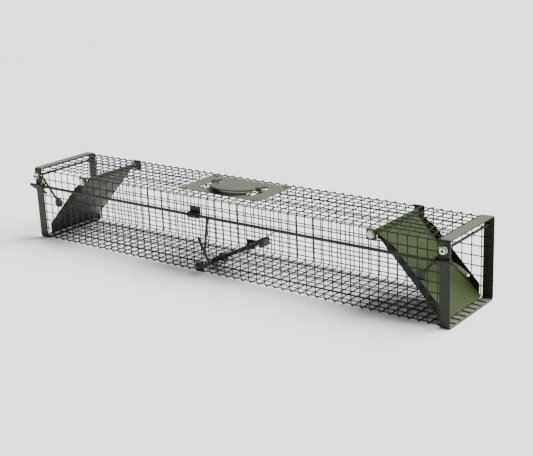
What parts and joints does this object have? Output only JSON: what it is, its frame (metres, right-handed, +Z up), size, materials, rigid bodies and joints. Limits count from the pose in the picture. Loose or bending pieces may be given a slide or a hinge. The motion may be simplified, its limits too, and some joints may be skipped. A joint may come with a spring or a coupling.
{
  "type": "live catch trap",
  "caption": "Wire mesh tunnel trap with a sloping sheet door at each end, a side trip rod, an inside treadle and a top carry handle.",
  "frame": {"origin": "on the ground, in the middle between the two end frames", "axes": "+X along the tunnel to the right end, -Y the side with the trip rod, +Z up"},
  "size_m": [1.032, 0.1933, 0.1696],
  "materials": {
    "mesh_paint": "satin dark green paint on welded wire",
    "frame_paint": "satin dark green paint on flat bar",
    "door_paint": "satin green paint on sheet",
    "rod_paint": "satin dark green paint on round bar",
    "zinc": "bright zinc plate",
    "black_plastic": "matt black"
  },
  "bodies": {
    "cage": {"guard_clips": "frame_paint", "hand_guard": "frame_paint", "handle_lugs": "frame_paint", "handle_pins": "zinc", "left_end_frame": "frame_paint", "left_hinge_nut": "zinc", "left_hinge_pin": "zinc", "left_hinge_plates": "frame_paint", "left_hinge_washers": "zinc", "left_lock_spring": "zinc", "left_rod_eye": "frame_paint", "mesh_cross_wires": "mesh_paint", "mesh_lengthwise_wires": "mesh_paint", "right_end_frame": "frame_paint", "right_hinge_nut": "zinc", "right_hinge_pin": "zinc", "right_hinge_plates": "frame_paint", "right_hinge_washers": "zinc", "right_lock_spring": "zinc", "right_rod_eye": "frame_paint", "rod_saddle": "frame_paint", "treadle_bearing": "black_plastic", "treadle_wall_bushes": "frame_paint"},
    "right_door": {"right_door": "door_paint"},
    "left_door": {"left_door": "door_paint"},
    "right_lock": {"right_lock_crank": "rod_paint", "right_lock_pad": "black_plastic", "right_axle_caps": "zinc"},
    "left_lock": {"left_lock_crank": "rod_paint", "left_lock_pad": "black_plastic", "left_axle_caps": "zinc"},
    "trip_rod": {"trip_rod": "rod_paint", "trip_arm": "rod_paint"},
    "treadle": {"treadle_rod": "rod_paint", "treadle_pedal": "rod_paint", "pedal_block": "black_plastic", "pedal_sleeve": "black_plastic", "bait_wire": "rod_paint", "treadle_clip": "zinc"},
    "handle": {"carry_handle": "frame_paint"}
  },
  "joints": [
    {"name": "right_door_hinge", "type": "hinge", "parent": "cage", "child": "right_door", "pos_m": [0.3505, 0, 0.1448], "axis": [0, -1, 0], "range_deg": [0, 36.5]},
    {"name": "left_door_hinge", "type": "hinge", "parent": "cage", "child": "left_door", "pos_m": [-0.3505, 0, 0.1448], "axis": [0, 1, 0], "range_deg": [0, 36.5]},
    {"name": "right_lock_hinge", "type": "hinge", "parent": "cage", "child": "right_lock", "pos_m": [0.49, 0, 0.14], "axis": [0, 1, 0], "range_deg": [0, 48.4]},
    {"name": "left_lock_hinge", "type": "hinge", "parent": "cage", "child": "left_lock", "pos_m": [-0.49, 0, 0.14], "axis": [0, -1, 0], "range_deg": [0, 48.4]},
    {"name": "trip_rod_hinge", "type": "hinge", "parent": "cage", "child": "trip_rod", "pos_m": [0, -0.087, 0.12], "axis": [-1, 0, 0], "range_deg": [0, 88]},
    {"name": "treadle_hinge", "type": "hinge", "parent": "cage", "child": "treadle", "pos_m": [-0.043, 0, 0.013], "axis": [0, 1, 0], "range_deg": [0, 23], "stiffness_Nm_per_rad": 0.3, "springref_deg": -20.05},
    {"name": "handle_hinge", "type": "hinge", "parent": "cage", "child": "handle", "pos_m": [-0.001, -0.006, 0.16408], "axis": [-1, 0, 0], "range_deg": [0, 110]}
  ],
  "couplings": [
    {"joint": "left_door_hinge", "follows": "right_door_hinge", "ratio": 1},
    {"joint": "right_lock_hinge", "follows": "right_door_hinge", "ratio": 1.32},
    {"joint": "left_lock_hinge", "follows": "right_door_hinge", "ratio": 1.32},
    {"joint": "trip_rod_hinge", "follows": "right_door_hinge", "ratio": 2.4}
  ]
}
